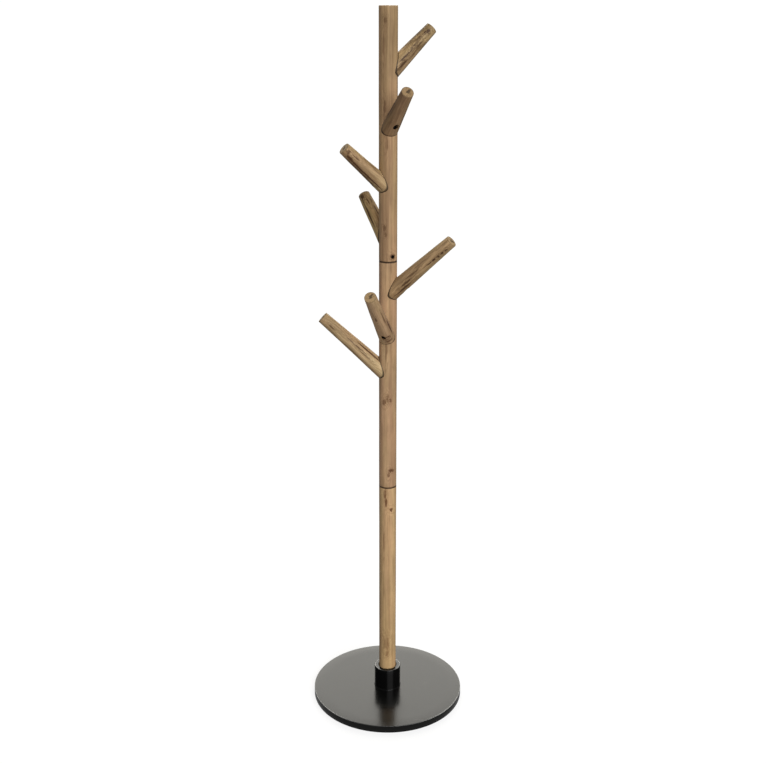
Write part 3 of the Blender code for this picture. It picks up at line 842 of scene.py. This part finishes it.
# Peg 6 takes the paler tones, which include painted light.
make_peg("peg_6", "middle_pole", pale_and_bounce_lit_tones, 9.0, 0.7, (
    (60, 0.35, 0.0022, 14.0, 0.9), (38, 0.60, 0.0016, 16.0, 0.6), (-25, 0.62, 0.0016, 4.0, 0.5),
    (12, 0.212, 0.0060, 0.35, 0.95), (24, 0.185, 0.0030, 0.6, 0.7), (-4, 0.16, 0.0050, 0.4, 0.5),
    (2, 0.115, 0.0060, 0.5, 0.7), (24, 0.120, 0.0055, 0.5, 0.6),
))
make_peg("peg_7", "middle_pole", pale_tones, 10.0, 1.0, (
    (14, 0.46, 0.0018, 10.0, 0.65), (2, 0.38, 0.0016, 10.0, 0.6), (16, 0.58, 0.0014, 10.0, 0.6),
    (44, 0.36, 0.0018, 24.0, 0.9), (-48, 0.5, 0.0014, 26.0, 0.6), (-6, 0.86, 0.0020, 4.0, 0.7),
))

# ---- peg screws ----
# One black wood screw holds each peg. Its low round head, with a hexagon socket, sits at the bottom of the
# sink in the peg's lower side, and its coarse thread bites in the pole.

screw_pitch = 0.0022
screw_thread = 0.0006
screw_seat = 0.0343
screw_point = 0.0095
head_height = 0.0026
head_radius = 0.0052
head_rim = 0.0011
head_undercut = 0.0003
shank_radius = 0.0022
neck_length = 0.004
socket_flats = 0.003
socket_floor = 0.0009


def make_peg_screw(name, body):
    """Its profile's heights are distances from the pole's axis, from its head's crown down to its neck."""
    dome_height = head_height - head_rim
    profile = [(0.0, screw_seat + head_height)]
    for degrees in (22, 40, 60, 76, 90):
        angle = math.radians(degrees)
        profile.append((head_radius * math.sin(angle), screw_seat + head_rim + dome_height * math.cos(angle)))
    neck = shank_radius * 0.8
    profile += [(head_radius - head_undercut, screw_seat), (neck, screw_seat)]
    profile += [(neck, screw_seat - neck_length), (0.0, screw_seat - neck_length)]
    place = screw_drill(name)
    screw = piece(f"wood_screw_{name}", turned(profile, 48), blackened, place)
    shank_end = screw_seat - neck_length / 2
    shank = threaded_rod(shank_radius, screw_thread, screw_pitch, screw_point, shank_end)
    socket = hexagon_bar(socket_flats, screw_seat + socket_floor, screw_seat + head_height + broach_clear)
    joined(screw, piece("screw_shank", shank, blackened, place))
    joined(screw, piece("socket_broach", socket, blackened, place), cut=True)
    screw.data.set_sharp_from_angle(angle=math.radians(35))
    stands_for(screw, f"{name}_screw", body)


for number in range(1, 8):
    make_peg_screw(f"peg_{number}", "upper_pole" if number <= 4 else "middle_pole")

# ---- studio ----
# A pale, even floor that glows a little, as a lit sweep does. The key is a broad soft light in front and to
# the right, and another behind gives the black base its sheen. The camera looks down a little, from the
# front.

floor_glow = 0.78
floor_reach = 400.0


def make_floor():
    """The floor neither lights the rack nor shows in its gloss: its glow is only for the camera."""
    bm = bmesh.new()
    bmesh.ops.create_grid(bm, x_segments=2, y_segments=2, size=floor_reach)
    paper, tree, shader = new_finish("floor_paper", Roughness=0.95, Specular_IOR_Level=0.0)
    where = add(tree, "ShaderNodeTexCoord").outputs["Object"]
    tooth = grained(tree, where, 40.0, 3.0)
    shade = blended(tree, tooth, (0.25, 0.25, 0.25, 1.0), (0.265, 0.265, 0.265, 1.0))
    tree.links.new(shade, shader.inputs["Base Color"])
    shader.inputs["Emission Color"].default_value = (1.0, 1.0, 1.0, 1.0)
    shader.inputs["Emission Strength"].default_value = floor_glow
    floor = piece("floor", bm, paper)
    floor.visible_diffuse = False
    floor.visible_glossy = False


def soft_sun(name, bearing_degrees, height, strength, softness, colour=(1.0, 1.0, 1.0)):
    """A far, broad light. Its bearing is from +X, and its height is above the horizon, in degrees."""
    light = bpy.data.lights.new(name, "SUN")
    light.energy = strength
    light.angle = math.radians(softness)
    light.color = colour
    lamp = bpy.data.objects.new(name, light)
    lamp.rotation_euler = (math.radians(90 - height), 0.0, math.radians(bearing_degrees + 90))
    bpy.context.scene.collection.objects.link(lamp)


make_floor()
soft_sun("key", bearing_degrees=-66.0, height=27.0, strength=2.55, softness=46.0)
warm_white = (1.0, 0.975, 0.90)
soft_sun("back_light", bearing_degrees=90.0, height=33.0, strength=2.25, softness=56.0, colour=warm_white)

world = bpy.data.worlds.new("studio")
world.use_nodes = True
backdrop = world.node_tree.nodes["Background"]
backdrop.inputs["Color"].default_value = (1.0, 1.0, 1.0, 1.0)
seen = add(world.node_tree, "ShaderNodeLightPath").outputs["Is Camera Ray"]
world_light = 0.26
strength = sums(world.node_tree, "MULTIPLY_ADD", seen, 1.0 - world_light, world_light)
world.node_tree.links.new(strength, backdrop.inputs["Strength"])
bpy.context.scene.world = world
bpy.context.scene.view_settings.view_transform = "Standard"

lens = bpy.data.cameras.new("lens")
lens.lens = 56.42
lens.sensor_width = 36.0
camera = bpy.data.objects.new("camera", lens)
look_down = math.radians(18.64)
camera.location = (-0.0115, -2.7028, 1.7573)
camera.rotation_euler = (math.radians(90) - look_down, 0.0, 0.0)
bpy.context.scene.collection.objects.link(camera)
bpy.context.scene.camera = camera
